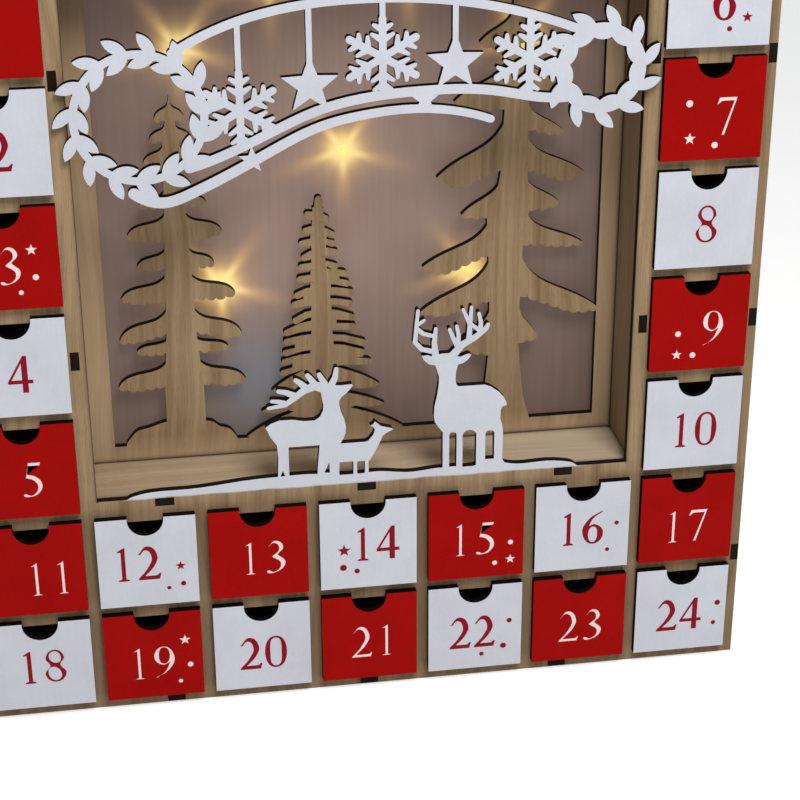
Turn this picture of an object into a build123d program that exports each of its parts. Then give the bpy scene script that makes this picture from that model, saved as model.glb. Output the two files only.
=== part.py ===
from build123d import *
import os
from math import cos, radians, sin

# Wooden advent calendar: a laser-cut plywood case with 24 drawers round a lit window.
# Millimetres, +Z up, the front looks towards -Y, the origin is the middle of the underside.
os.makedirs("parts", exist_ok=True)

# Drawer grid: the window takes the upper middle cells, the drawers take the rest
columns = 7
rows = 7
window_columns = 5
window_rows = 5
front_size = 48.0
column_gap = 6.0
row_gap = 5.0
edge_margin = 6.0

# Plywood sheets and the depth of the whole calendar
depth = 74.0
board = 4.0
front_board = 4.0
tray_board = 3.0
back_board = 3.0
backdrop_board = 2.0

# Fits: glued boards, sliding trays, and how far a cut runs past a face
fit_gap = 0.1
run_gap = 0.5
slide_gap = 0.2
cut_over = 1.0

# How far a drawer front covers the panel round its opening
overlay_top = 3.5
overlay_bottom = 3.0
overlay_side = 2.5

# Finger notch of a drawer front and the tray behind it
notch_width = 17.4
notch_depth = 9.5
tray_height = 36.0
tray_back_gap = 3.0

# Window of the front panel: lips past the walls and the shelf behind it
window_side_lip = 3.0
window_shelf_lip = 0.5
window_top_rail = 8.0

# Tenons of the boards through the front panel
tenon_length = 9.0
shelf_tenon_spacing = 98.0
side_tenon_spacing = 130.0
wall_tenon_spacing = 132.0

# Tree panel, set back in the window, with the backdrop between it and the battery box
box_gap = 2.0
backdrop_gap = 5.0
border_left = 13.0
border_right = 9.6
border_bottom = 8.2
border_top = 10.0
tree_squares_share = 26.6
lobe_depth = 1.35
sag_peak_share = 0.3
root_inset_share = 0.85

# Left fir: trunk half widths by height, then tiers as root, tip and foot heights, left and right reach
left_fir_share = -8.4
left_trunk_shares = [(0.98, 0.5), (0.95, 3.9), (0.72, 6.7), (0.65, 9.9), (0.5, 13.0), (0.4, 16.4)]
left_top_share = 18.5
left_tier_shares = [
    (5.45, 4.00, 4.05, 3.20, 3.05),
    (6.50, 5.85, 5.75, 2.20, 2.25),
    (8.20, 6.45, 6.85, 3.00, 2.95),
    (9.85, 8.60, 8.50, 2.80, 2.70),
    (11.20, 10.20, 10.15, 1.95, 1.75),
    (12.95, 11.80, 11.50, 2.30, 2.20),
    (14.00, 13.30, 13.25, 1.65, 1.50),
    (16.35, 15.30, 15.30, 1.35, 1.30),
    (17.35, 16.40, 16.55, 1.00, 0.95),
    (18.40, 17.40, 17.50, 0.72, 0.67),
]
left_sag_share = 0.06
left_edge_shares = [(0.05, 0.20), (0.20, 0.40), (0.55, 0.54), (0.88, 0.74)]

# Middle fir: a slim core with a blunt top, slotted twigs above and wide skirts below; each twig has the place
# where the slot above it ends and the place of its tip, from the top down
middle_fir_share = -1.66
middle_core_shares = [(0.9, 0.5), (0.55, 2.4), (0.28, 4.6), (0.18, 9.0), (0.10, 12.4)]
middle_top_share = 12.9
middle_tip_shares = [(0.06, 12.30), (0.11, 13.12)]
middle_tip_width_shares = (0.48, 0.36)
left_twig_shares = [
    (-0.20, 12.54, -0.60, 12.56), (-0.24, 11.84, -0.71, 11.75), (-0.32, 11.19, -0.91, 11.10),
    (-0.29, 10.62, -0.80, 10.38), (-0.31, 9.95, -0.95, 9.90), (-0.36, 9.34, -1.03, 9.28),
    (-0.38, 8.71, -1.19, 8.45), (-0.74, 8.21, -1.35, 7.97), (-0.37, 7.51, -1.31, 7.13),
    (-0.38, 6.98, -1.77, 6.52), (-0.40, 6.23, -1.79, 6.04), (-1.23, 5.60, -1.85, 5.45),
    (-0.47, 5.22, -1.92, 4.97), (-1.38, 4.64, -2.00, 4.38),
]
right_twig_shares = [
    (0.33, 12.47, 0.65, 12.28), (0.37, 11.76, 0.90, 11.47), (0.45, 11.14, 0.89, 11.04),
    (0.42, 10.73, 1.03, 10.57), (0.37, 10.02, 1.00, 9.85), (0.43, 9.60, 1.42, 9.46),
    (1.05, 9.14, 1.56, 8.93), (0.62, 8.65, 1.76, 8.45), (0.57, 8.07, 1.70, 7.87),
    (0.63, 7.54, 1.79, 7.13), (0.86, 6.73, 1.85, 6.64), (0.65, 6.19, 2.33, 5.75),
    (0.69, 5.68, 2.28, 5.22), (2.13, 4.96, 2.58, 4.71),
]
twig_foot_share = 4.22
twig_slot_share = 0.2
twig_web_share = 0.15
twig_tip_thick_share = 0.34
twig_bend_shares = (0.55, 0.3)
middle_tier_shares = [
    (2.45, 0.88, 0.50, 3.75, 4.15),
    (3.20, 2.20, 2.15, 3.00, 3.22),
    (4.60, 3.28, 3.08, 2.45, 2.98),
]
middle_edge_shares = [(0.30, 0.25), (0.70, 0.60)]

# Right fir: trunk outline up the left side and down the right, then branches as root, tip, foot and sag
right_fir_share = 7.66
right_trunk_shares = [
    (-1.50, 0.5), (-1.05, 2.0), (-0.82, 4.5), (-0.80, 7.5), (-0.90, 9.9), (-1.00, 11.8), (-0.52, 13.0),
    (-0.35, 14.0), (-0.22, 17.1), (-0.05, 20.0), (0.02, 21.6), (0.24, 22.9), (0.46, 21.6), (0.50, 20.3),
    (0.95, 17.9), (0.98, 16.2), (0.95, 14.2), (1.10, 12.0), (0.85, 10.3), (0.75, 7.7), (0.70, 5.1),
    (0.80, 4.0), (1.00, 2.1), (1.45, 0.5),
]
right_branch_shares = [
    ((0.24, 22.20), (-1.45, 20.40), (0.15, 20.10), 0.20),
    ((0.10, 20.00), (-2.65, 17.60), (-0.05, 17.25), 0.40),
    ((-0.07, 17.06), (-3.47, 13.89), (-0.20, 14.29), 0.70),
    ((-0.20, 14.04), (-2.26, 11.93), (-0.70, 11.83), 0.10),
    ((-0.80, 11.83), (-4.17, 9.36), (-0.75, 9.92), 0.60),
    ((-0.75, 9.82), (-4.27, 7.00), (-0.65, 7.50), 0.40),
    ((-0.65, 7.40), (-2.57, 4.99), (-0.67, 4.53), 0.15),
    ((0.24, 22.40), (1.64, 20.60), (0.33, 20.40), 0.20),
    ((0.35, 20.30), (2.34, 18.20), (0.79, 17.95), 0.25),
    ((0.80, 17.76), (2.72, 15.90), (0.83, 16.20), 0.20),
    ((0.83, 16.05), (3.82, 13.79), (0.80, 14.19), 0.50),
    ((0.80, 14.04), (2.60, 12.33), (0.95, 12.08), 0.20),
    ((0.95, 12.03), (3.87, 10.17), (0.70, 10.32), 0.15),
    ((0.70, 10.02), (4.80, 6.62), (0.62, 7.70), 0.45),
    ((0.62, 7.50), (1.70, 5.29), (0.55, 5.09), 0.10),
]
right_edge_shares = [(0.06, 0.22), (0.22, 0.45), (0.57, 0.68), (0.85, 0.86)]

# Hills at the foot of the left fir
hill_shares = [
    (-11.40, 0.96), (-11.10, 1.36), (-10.80, 1.62), (-10.30, 1.74), (-9.90, 1.87), (-9.45, 2.00),
    (-7.43, 1.92), (-7.08, 1.84), (-6.77, 1.58), (-6.37, 1.44), (-6.07, 1.16), (-5.90, 0.84),
]

# Light string: bulbs pushed through the backdrop, places as shares of the window
bulb_radius = 2.2
bulb_reach = 1.0
bulb_collar = 0.8
bulb_base_length = 4.6
bulb_hole_gap = 0.2
wire_radius = 0.6
wire_bend = 2.0
wire_lead = 10.0
bulb_shares = [
    (-0.485, 0.340), (-0.600, 0.802), (-0.270, 0.921), (0.231, 0.929), (0.646, 0.799),
    (0.610, 0.565), (0.454, 0.344), (-0.018, 0.597),
]

# Battery box for two small round cells, its lid and its switch, let into the back panel
box_level = 180.0
bay_length = 50.0
bay_height = 22.4
switch_room = 9.2
box_wall = 1.6
box_depth = 14.0
flange_width = 3.0
flange_thick = 2.0
ledge_width = 2.0
lid_gap = 0.3
lid_grip_width = 12.0
lid_grip_depth = 0.8
knob_size = 3.0
knob_gap = 0.3
switch_travel = 3.5
slider_width = 6.0
slider_length = 10.0
slider_thick = 1.5

# Snow and reindeer of the front panel, drawn on squares above the window shelf
deer_squares_share = 25.873
deer_offset = 0.55
snow_foot = 1.5
snow_shares = [
    (-11.62, -0.02), (-11.40, 0.15), (-11.15, 0.23), (-10.85, 0.30), (-10.30, 0.36), (-9.70, 0.38),
    (-8.60, 0.38), (-7.40, 0.46), (-6.00, 0.60), (-4.00, 0.68), (-2.50, 0.67), (-1.00, 0.48), (0.50, 0.57),
    (2.00, 0.40), (3.80, 0.50), (5.00, 0.42), (6.00, 0.68), (7.00, 0.46), (8.40, 0.43), (9.00, 0.44),
    (9.50, 0.39), (9.90, 0.32), (10.15, 0.24), (10.34, 0.11), (10.50, -0.02),
]
deer_shares = [
    (-4.87, 3.30), (-4.60, 3.50), (-4.20, 3.64), (-3.60, 3.64), (-3.00, 3.52), (-2.50, 3.52), (-2.25, 3.70),
    (-2.10, 4.00), (-2.08, 4.30), (-2.15, 4.70), (-2.20, 5.10), (-1.58, 5.28), (-1.20, 5.25), (-0.70, 5.28),
    (-0.66, 5.20), (-0.80, 5.00), (-0.95, 4.85), (-1.20, 4.65), (-1.32, 4.45), (-1.32, 4.20), (-1.25, 3.90),
    (-1.10, 3.50), (-1.02, 3.10), (-1.04, 2.75), (-1.15, 2.45), (-1.30, 2.20), (-1.40, 0.40), (-2.45, 0.40),
    (-2.40, 1.20), (-2.30, 2.20), (-3.80, 2.20), (-3.80, 0.40), (-4.35, 0.40), (-4.30, 1.70), (-4.35, 2.35),
    (-4.65, 2.80), (-4.80, 3.18),
]
deer_hoof_shares = [
    [(-4.10, 0.98), (-4.22, 0.68), (-4.00, 0.68)],
    [(-1.85, 1.25), (-2.10, 0.72), (-1.84, 0.68)],
]
deer_antler_shares = [
    ([(-1.9, 5.1), (-2.45, 5.32), (-3.0, 5.1), (-3.45, 4.75), (-3.9, 4.42), (-4.68, 4.31)], 0.50, 0.17),
    ([(-3.85, 4.50), (-4.20, 4.62), (-4.50, 4.66)], 0.26, 0.19),
    ([(-3.40, 4.85), (-3.82, 5.06), (-4.18, 5.15)], 0.34, 0.22),
    ([(-2.90, 5.25), (-3.15, 5.50), (-3.35, 5.66)], 0.34, 0.23),
    ([(-2.50, 5.45), (-2.68, 5.72), (-2.80, 5.88)], 0.32, 0.22),
    ([(-2.00, 5.40), (-2.16, 5.70), (-2.24, 5.88)], 0.32, 0.22),
    ([(-1.70, 5.25), (-1.50, 5.66), (-1.43, 6.10)], 0.36, 0.21),
]
fawn_shares = [
    (-1.40, 2.20), (-0.10, 2.20), (0.05, 2.25), (0.30, 2.55), (0.38, 2.80), (0.30, 2.95), (0.15, 3.03),
    (0.30, 3.10), (0.37, 3.24), (0.52, 3.12), (0.66, 2.98), (1.20, 2.82), (1.25, 2.74), (0.95, 2.60),
    (0.75, 2.45), (0.65, 2.20), (0.40, 1.70), (0.15, 1.25), (0.05, 1.15), (0.05, 0.40), (-1.60, 0.40),
]
fawn_gap_shares = [(-1.38, -0.69, 0.52, 1.20, 0.05), (-0.51, -0.13, 0.52, 1.18, 0.05)]
stag_shares = [
    (2.65, 6.48), (2.90, 6.50), (3.15, 6.42), (3.60, 6.53), (4.00, 6.53), (4.15, 6.40), (4.50, 6.30),
    (4.90, 6.45), (5.05, 6.38), (4.90, 6.15), (4.65, 5.97), (4.40, 5.90), (4.32, 5.60), (4.28, 5.20),
    (4.30, 4.95), (4.40, 4.78), (5.00, 4.77), (5.70, 4.77), (6.00, 4.65), (6.40, 4.35), (6.65, 4.05),
    (6.78, 3.75), (6.80, 3.60), (6.60, 3.55), (6.52, 3.40), (6.50, 2.90), (6.60, 2.55), (6.65, 2.20),
    (6.63, 0.75), (6.80, 0.40), (3.68, 0.40), (3.68, 2.40), (3.50, 2.65), (3.30, 2.95), (3.24, 3.30),
    (3.27, 3.80), (3.40, 4.40), (3.48, 5.00), (3.48, 5.35), (3.38, 5.70), (3.30, 5.95), (3.00, 6.02),
    (2.75, 6.25),
]
stag_gap_shares = [
    (4.00, 4.36, 0.52, 2.36, 0.16), (4.66, 5.33, 0.46, 2.42, 0.30), (5.78, 6.22, 0.78, 2.32, 0.18),
]
stag_antler_shares = [
    ([(3.32, 6.40), (3.25, 7.10), (3.32, 7.82)], 0.34, 0.17),
    ([(3.25, 6.65), (2.65, 6.82), (2.33, 7.20), (2.38, 7.80), (2.47, 8.78)], 0.26, 0.17),
    ([(2.40, 7.90), (2.72, 7.60), (3.20, 7.46)], 0.22, 0.20),
    ([(2.42, 8.05), (2.76, 8.28)], 0.20, 0.16),
    ([(4.15, 6.42), (4.60, 6.92), (5.25, 7.28), (5.72, 7.66), (5.82, 7.86)], 0.40, 0.20),
    ([(4.42, 6.75), (4.15, 7.30), (3.98, 7.74)], 0.26, 0.17),
    ([(4.38, 6.90), (4.42, 7.40), (4.32, 7.88)], 0.24, 0.17),
    ([(4.92, 7.15), (4.95, 7.95), (4.62, 8.70)], 0.28, 0.16),
    ([(4.95, 7.90), (5.02, 8.80)], 0.24, 0.16),
    ([(4.95, 7.98), (5.40, 7.60)], 0.20, 0.20),
    ([(5.45, 7.50), (5.48, 8.00), (5.38, 8.46)], 0.26, 0.16),
]

# Garland across the window top: wreaths glued to both posts, a rail and an arch with stars and snowflakes;
# curl, start and end shares are in wreath radii from a wreath's middle, the others in window sizes
post_overlap = 5.0
left_wreath_radius = 28.5
right_wreath_radius = 19.0
left_wreath_share = 0.739
right_wreath_share = 0.790
wreath_band = 3.6
leaf_length = 13.0
leaf_width = 5.4
leaf_lean = 36.0
left_leaf_count = 15
right_leaf_count = 11
swoosh_width = 5.2
swoosh_end_width = 3.6
rail_width = 4.4
arch_width = 4.0
curve_steps = 24
curl_shares = [(-0.144, -1.198), (0.066, -1.323), (0.367, -1.367), (0.663, -1.278)]
swoosh_shares = [
    (-0.460, 0.632), (-0.308, 0.672), (-0.154, 0.708), (0.000, 0.726), (0.154, 0.733), (0.308, 0.727),
    (0.446, 0.708),
]
rail_start_share = (0.732, -0.834)
rail_end_share = (-0.640, -0.639)
rail_shares = [
    (-0.460, 0.670), (-0.308, 0.705), (-0.154, 0.738), (0.000, 0.756), (0.231, 0.765), (0.460, 0.759),
    (0.640, 0.742),
]
arch_start_share = (0.549, 0.985)
arch_end_share = (-0.503, 0.932)
arch_shares = [(-0.385, 0.905), (0.000, 0.930), (0.385, 0.915)]
snowflake_shares = [(-0.420, 0.744), (0.070, 0.827), (0.580, 0.815)]
snowflake_radius = 17.0
snowflake_width = 3.4
snowflake_barb_length = 7.0
snowflake_barb_shares = (0.45, 0.72)
star_shares = [(-0.180, 0.783), (0.320, 0.812)]
star_radius = 13.5
star_inner_share = 0.42
hanger_width = 2.6
tie_shares = [(-0.385, 0.655), (0.215, 0.748)]
tie_radius = 6.5

# Values that follow from the sizes above
column_pitch = front_size + column_gap
row_pitch = front_size + row_gap
panel_width = (columns - 1) * column_pitch + front_size + 2 * edge_margin
panel_height = (rows - 1) * row_pitch + front_size + 2 * edge_margin
half_width = panel_width / 2
inner_half = half_width - board
y_front = -depth / 2
y_panel = y_front + front_board
y_boards = y_panel + board
y_back = depth / 2 - back_board
y_half_lap = (y_boards + y_back) / 2
opening_width = front_size - 2 * overlay_side
opening_height = front_size - overlay_top - overlay_bottom
tray_width = opening_width - 2 * run_gap
wall_x = window_columns * column_pitch / 2
wall_inner = wall_x - board / 2
window_half = wall_inner - window_side_lip


def column_x(column):
    return (column - (columns - 1) / 2) * column_pitch


def row_z(row):
    return panel_height - edge_margin - front_size / 2 - row * row_pitch


def opening_floor(row):
    return row_z(row) - front_size / 2 + overlay_bottom


shelf_top = opening_floor(window_rows - 1)
window_bottom = shelf_top + window_shelf_lip
window_top = panel_height - window_top_rail
window_height = window_top - window_bottom
tree_square = 2 * wall_inner / tree_squares_share
deer_square = 2 * window_half / deer_squares_share
y_rear = depth / 2
y_box = y_rear - box_depth
y_backdrop_rear = y_box - box_gap
y_backdrop = y_backdrop_rear - backdrop_board
y_tree = y_backdrop - backdrop_gap - board
y_wire = y_backdrop_rear + bulb_base_length - bulb_collar - wire_radius

# Days run down the left column, down the right column, then along the two lower rows
cells = [(0, row) for row in range(window_rows)]
cells += [(columns - 1, row) for row in range(window_rows)]
cells += [(column, row) for row in range(window_rows, rows) for column in range(columns)]


def slab(x_low, x_high, y_low, y_high, z_low, z_high):
    """A board between two corners."""
    middle = Pos((x_low + x_high) / 2, (y_low + y_high) / 2, (z_low + z_high) / 2)
    return middle * Box(x_high - x_low, y_high - y_low, z_high - z_low)


def plate(x_low, x_high, z_low, z_high):
    """A rectangle of a flat drawing."""
    return Pos((x_low + x_high) / 2, (z_low + z_high) / 2) * Rectangle(x_high - x_low, z_high - z_low)


def sheet(drawing, y_near, thick):
    """A flat drawing of the front view, cut from a sheet whose front face is at y_near."""
    return Pos(0, y_near + thick, 0) * extrude(Plane.XZ * drawing, amount=thick)


def save(name, *pieces):
    """One file for a node, with each of its solids kept apart."""
    solids = [solid for piece in pieces for solid in piece.solids()]
    export_step(solids[0] if len(solids) == 1 else Compound(solids), f"parts/{name}.step")


def joined(faces):
    """Flat drawings added to each other one by one."""
    whole = faces[0]
    for face in faces[1:]:
        whole += face
    return whole


def limb(points, start_width, end_width):
    """A rounded stroke along points, tapering from one width to another."""
    steps = len(points) - 1
    widths = [start_width + (end_width - start_width) * step / steps for step in range(steps + 1)]
    rounds = [Pos(*point) * Circle(width / 2) for point, width in zip(points, widths)]
    return [make_hull([near.edge(), far.edge()]) for near, far in zip(rounds, rounds[1:])]


# Drawers: a square front with a finger notch, and a tray of four boards glued behind it
def drawer_front(column, row):
    radius = notch_width / 2
    notch_centre = front_size / 2 - notch_depth + radius
    notch = Pos(0, notch_centre) * Circle(radius)
    notch += plate(-radius, radius, notch_centre, front_size / 2 + cut_over)
    drawing = Rectangle(front_size, front_size) - notch
    return sheet(Pos(column_x(column), row_z(row)) * drawing, y_front, front_board)


def drawer_tray(column, row):
    left = column_x(column) - tray_width / 2
    right = column_x(column) + tray_width / 2
    rear = y_back - tray_back_gap
    floor = opening_floor(row) + slide_gap
    floor_top = floor + tray_board
    top = floor + tray_height
    return [
        slab(left, right, y_panel, rear, floor, floor_top),
        slab(left, left + tray_board, y_panel, rear, floor_top, top),
        slab(right - tray_board, right, y_panel, rear, floor_top, top),
        slab(left + tray_board, right - tray_board, rear - tray_board, rear, floor_top, top),
    ]


for day, (column, row) in enumerate(cells, start=1):
    save(f"drawer_front_{day:02d}", drawer_front(column, row))
    save(f"drawer_tray_{day:02d}", *drawer_tray(column, row))

# Places of the tenons: three along each shelf, base and top, three up each side, two up each window wall
shelf_tenons = [step * shelf_tenon_spacing for step in (-1, 0, 1)]
side_tenons = [panel_height / 2 + step * side_tenon_spacing for step in (-1, 0, 1)]
wall_tenons = [panel_height / 2 + step * wall_tenon_spacing for step in (0, 1)]


# Snow, a deer with swept antlers, a fawn and a stag, which stand up from the lower window edge
def on_snow(share):
    return (share[0] * deer_square + deer_offset, shelf_top + share[1] * deer_square)


def cutout(shares):
    return make_face(Polyline(*[on_snow(share) for share in shares], close=True))


def antlers(table):
    faces = []
    for shares, start_share, end_share in table:
        points = [on_snow(share) for share in shares]
        faces += limb(points, start_share * deer_square, end_share * deer_square)
    return faces


def leg_gap(shares):
    """The space between two legs, with rounded upper corners."""
    left, right, low, high, corner_share = shares
    (x_low, z_low), (x_high, z_high) = on_snow((left, low)), on_snow((right, high))
    gap = plate(x_low, x_high, z_low, z_high)
    return fillet(gap.vertices().group_by(Axis.Y)[-1], corner_share * deer_square)


def snow_and_reindeer():
    ridge = [on_snow(share) for share in snow_shares]
    low = window_bottom - snow_foot
    foot = Polyline(ridge[-1], (ridge[-1][0], low), (ridge[0][0], low), ridge[0])
    snow = make_face(Spline(*ridge) + foot)
    deer = cutout(deer_shares) - [cutout(shares) for shares in deer_hoof_shares]
    fawn = cutout(fawn_shares) - [leg_gap(shares) for shares in fawn_gap_shares]
    stag = cutout(stag_shares) - [leg_gap(shares) for shares in stag_gap_shares]
    return [snow, deer, fawn, stag] + antlers(deer_antler_shares) + antlers(stag_antler_shares)


# Front panel: one sheet with the window, the drawer openings and the tenon slots
def front_panel():
    openings = [plate(-window_half, window_half, window_bottom, window_top)]
    for column, row in cells:
        left = column_x(column) - opening_width / 2
        floor = opening_floor(row)
        openings.append(plate(left, left + opening_width, floor, floor + opening_height))
    drawing = plate(-half_width, half_width, 0, panel_height) - openings + snow_and_reindeer()
    return sheet(drawing - tenon_slots(), y_panel, board)


def tenon_slots():
    half_slot = tenon_length / 2 + fit_gap
    board_slot = board + fit_gap
    slots = []
    for x in shelf_tenons:
        slots.append(plate(x - half_slot, x + half_slot, shelf_top - board_slot, shelf_top + fit_gap))
        slots.append(plate(x - half_slot, x + half_slot, -cut_over, board_slot))
        slots.append(plate(x - half_slot, x + half_slot, panel_height - board_slot, panel_height + cut_over))
    for side in (-1, 1):
        for z in side_tenons:
            near = side * (half_width - board_slot)
            far = side * (half_width + cut_over)
            slots.append(plate(min(near, far), max(near, far), z - half_slot, z + half_slot))
        for z in wall_tenons:
            middle = side * wall_x
            reach = board / 2 + fit_gap
            slots.append(plate(middle - reach, middle + reach, z - half_slot, z + half_slot))
    return slots


save("front_panel", front_panel())


# Outer case: base and top across the whole width, the two sides between them
def level_board(x_reach, z_low, z_high):
    flat = slab(-x_reach, x_reach, y_boards, y_back, z_low, z_high)
    for x in shelf_tenons:
        flat += slab(x - tenon_length / 2, x + tenon_length / 2, y_panel, y_boards, z_low, z_high)
    return flat


def side_board(side):
    x_low = min(side * inner_half, side * half_width)
    upright = slab(x_low, x_low + board, y_boards, y_back, board, panel_height - board)
    for z in side_tenons:
        upright += slab(x_low, x_low + board, y_panel, y_boards, z - tenon_length / 2, z + tenon_length / 2)
    return upright


save(
    "case_boards",
    level_board(half_width, 0, board),
    level_board(half_width, panel_height - board, panel_height),
    side_board(-1),
    side_board(1),
)

# Partitions: a raised floor, two long shelves, the window walls and dividers half-lapped into them,
# and short shelves in the side columns
floor_top = opening_floor(rows - 1)
lower_shelf_top = opening_floor(window_rows)
lap_reach = board / 2 + fit_gap
wall_places = [-wall_x, wall_x]
divider_places = [(step - (window_columns - 2) / 2) * column_pitch for step in range(window_columns - 1)]


def long_shelf(shelf, top, crossings):
    z_low = top - board - cut_over
    for x in crossings:
        shelf -= slab(x - lap_reach, x + lap_reach, y_half_lap, y_back + cut_over, z_low, top + cut_over)
    return shelf


def upright_board(x, top, crossings):
    upright = slab(x - board / 2, x + board / 2, y_boards, y_back, floor_top, top)
    for z in crossings:
        z_low = z - board - fit_gap
        upright -= slab(x - board, x + board, y_boards - cut_over, y_half_lap, z_low, z + fit_gap)
    return upright


def window_wall(x):
    wall = upright_board(x, panel_height - board, [shelf_top, lower_shelf_top])
    for z in wall_tenons:
        tenon_low = z - tenon_length / 2
        wall += slab(x - board / 2, x + board / 2, y_panel, y_boards, tenon_low, tenon_low + tenon_length)
    return wall


def short_shelf(side, row):
    top = opening_floor(row)
    near = side * (wall_x + board / 2)
    far = side * inner_half
    return slab(min(near, far), max(near, far), y_boards, y_back, top - board, top)


lower_shelf = slab(-inner_half, inner_half, y_boards, y_back, lower_shelf_top - board, lower_shelf_top)
save(
    "partition_boards",
    slab(-inner_half, inner_half, y_boards, y_back, board, floor_top),
    long_shelf(level_board(inner_half, shelf_top - board, shelf_top), shelf_top, wall_places),
    long_shelf(lower_shelf, lower_shelf_top, wall_places + divider_places),
    *[window_wall(x) for x in wall_places],
    *[upright_board(x, shelf_top - board, [lower_shelf_top]) for x in divider_places],
    *[short_shelf(side, row) for side in (-1, 1) for row in range(window_rows - 1)],
)


# Tree panel: a border, hills and three firs cut from one sheet
def on_squares(share, middle_share=0):
    return ((share[0] + middle_share) * tree_square, shelf_top + share[1] * tree_square)


def branch(root, tip, foot, trunk_x, edge_shares, lobes, sag=0):
    """A fir branch: a curved upper edge out to the tip and a sagging lobed lower edge back to the trunk."""
    across = tip[0] - root[0]
    down = tip[1] - root[1]
    upper = [root] + [(root[0] + across * out, root[1] + down * drop) for out, drop in edge_shares] + [tip]
    lower = []
    for step in range(lobes + 1):
        share = step / lobes
        hang = sag * min(share / sag_peak_share, (1 - share) / (1 - sag_peak_share))
        lower.append((tip[0] + (foot[0] - tip[0]) * share, tip[1] + (foot[1] - tip[1]) * share - hang))
    edges = [Spline(*upper)]
    for start, end in zip(lower, lower[1:]):
        middle = ((start[0] + end[0]) / 2, (start[1] + end[1]) / 2 - lobe_depth)
        edges.append(ThreePointArc(start, middle, end))
    edges.append(Polyline(foot, (trunk_x, (foot[1] + root[1]) / 2), root))
    return make_face(edges)


def tiered_fir(middle_share, tiers, trunk_shares, top_share, edge_shares, lobe_count, sag_share=0):
    """A fir with a branch to each side of every tier."""
    sides = [(-half, height) for half, height in trunk_shares]
    sides += [(0, top_share)]
    sides += [(half, height) for half, height in reversed(trunk_shares)]
    faces = [make_face(Polyline(*[on_squares(point, middle_share) for point in sides], close=True))]
    trunk_x = on_squares((0, 0), middle_share)[0]
    for root, tip, foot, left_reach, right_reach in tiers:
        root_half = trunk_half(trunk_shares, top_share, root) * root_inset_share
        foot_half = trunk_half(trunk_shares, top_share, foot) / 2
        for side, reach in ((-1, left_reach), (1, right_reach)):
            corners = [(side * root_half, root), (side * reach, tip), (side * foot_half, foot)]
            ends = [on_squares(corner, middle_share) for corner in corners]
            sag = reach * sag_share * tree_square
            faces.append(branch(*ends, trunk_x, edge_shares, lobe_count(reach), sag))
    return faces


def trunk_half(trunk_shares, top_share, height):
    """Half width of a trunk at a height, in squares."""
    outline = trunk_shares + [(0, top_share)]
    for (low_half, low), (high_half, high) in zip(outline, outline[1:]):
        if low <= height <= high:
            return low_half + (high_half - low_half) * (height - low) / (high - low)
    return trunk_shares[0][0]


def twigs(shares):
    """Drooping twigs down one side of the middle fir, with round tips and thin slots between them."""
    faces = []
    roots = [root for _, root, _, _ in shares] + [twig_foot_share]
    for (slot_end, root, tip, drop), next_root in zip(shares, roots[1:]):
        thick = root - next_root - twig_slot_share
        tip_middle = tip - twig_tip_thick_share / 2 * tip / abs(tip)
        start = root - thick / 2
        fall = drop - twig_tip_thick_share / 2 - start
        out, down = twig_bend_shares
        line = [(0, start), (tip_middle * out, start + fall * down), (tip_middle, start + fall)]
        ends = [on_squares(point, middle_fir_share) for point in line]
        faces += limb(ends, thick * tree_square, twig_tip_thick_share * tree_square)
        corners = [(0, root - twig_web_share), (slot_end, root + twig_slot_share)]
        (x_core, z_low), (x_end, z_high) = [on_squares(corner, middle_fir_share) for corner in corners]
        faces.append(plate(min(x_core, x_end), max(x_core, x_end), z_low, z_high))
    return faces


def right_fir():
    outline = [on_squares(share, right_fir_share) for share in right_trunk_shares]
    faces = [make_face(Polyline(*outline, close=True))]
    trunk_x = on_squares((0, 0), right_fir_share)[0]
    for *corners, sag in right_branch_shares:
        ends = [on_squares(corner, right_fir_share) for corner in corners]
        lobes = max(2, round(abs(corners[1][0] - corners[2][0]) * 2))
        faces.append(branch(*ends, trunk_x, right_edge_shares, lobes, sag * tree_square))
    return faces


def tree_panel():
    edge = wall_inner - fit_gap
    top = panel_height - board - fit_gap
    border = plate(-edge, edge, shelf_top, top)
    border -= plate(-edge + border_left, edge - border_right, shelf_top + border_bottom, top - border_top)
    hill = [on_squares(share) for share in hill_shares]
    ground = shelf_top + border_bottom / 2
    hill_foot = Polyline(hill[-1], (hill[-1][0], ground), (hill[0][0], ground), hill[0])
    faces = [make_face(Spline(*hill) + hill_foot)]
    faces += tiered_fir(
        left_fir_share, left_tier_shares, left_trunk_shares, left_top_share, left_edge_shares,
        lambda reach: max(2, round(reach * 2)), left_sag_share,
    )
    faces += tiered_fir(
        middle_fir_share, middle_tier_shares, middle_core_shares, middle_top_share, middle_edge_shares,
        lambda reach: 2,
    )
    tip = [on_squares(share, middle_fir_share) for share in middle_tip_shares]
    faces += limb(tip, *[share * tree_square for share in middle_tip_width_shares])
    faces += twigs(left_twig_shares) + twigs(right_twig_shares)
    faces += right_fir()
    return sheet(joined([border] + faces), y_tree, board)


save("tree_panel", tree_panel())

# Backdrop with a hole for every bulb
bulbs = [(across * window_half, window_bottom + up * window_height) for across, up in bulb_shares]
backdrop_edge = wall_inner - fit_gap
backdrop = plate(-backdrop_edge, backdrop_edge, shelf_top, panel_height - board - fit_gap)
backdrop -= [Pos(x, z) * Circle(bulb_radius + bulb_hole_gap) for x, z in bulbs]
save("backdrop_panel", sheet(backdrop, y_backdrop, backdrop_board))

# Back panel with a cut-out for the battery box
box_half_length = (bay_length + switch_room + 3 * box_wall) / 2
box_half_height = bay_height / 2 + box_wall
back_panel = plate(-half_width, half_width, 0, panel_height)
back_panel -= plate(
    -box_half_length - fit_gap, box_half_length + fit_gap,
    box_level - box_half_height - fit_gap, box_level + box_half_height + fit_gap,
)
save("back_panel", sheet(back_panel, y_back, back_board))

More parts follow.
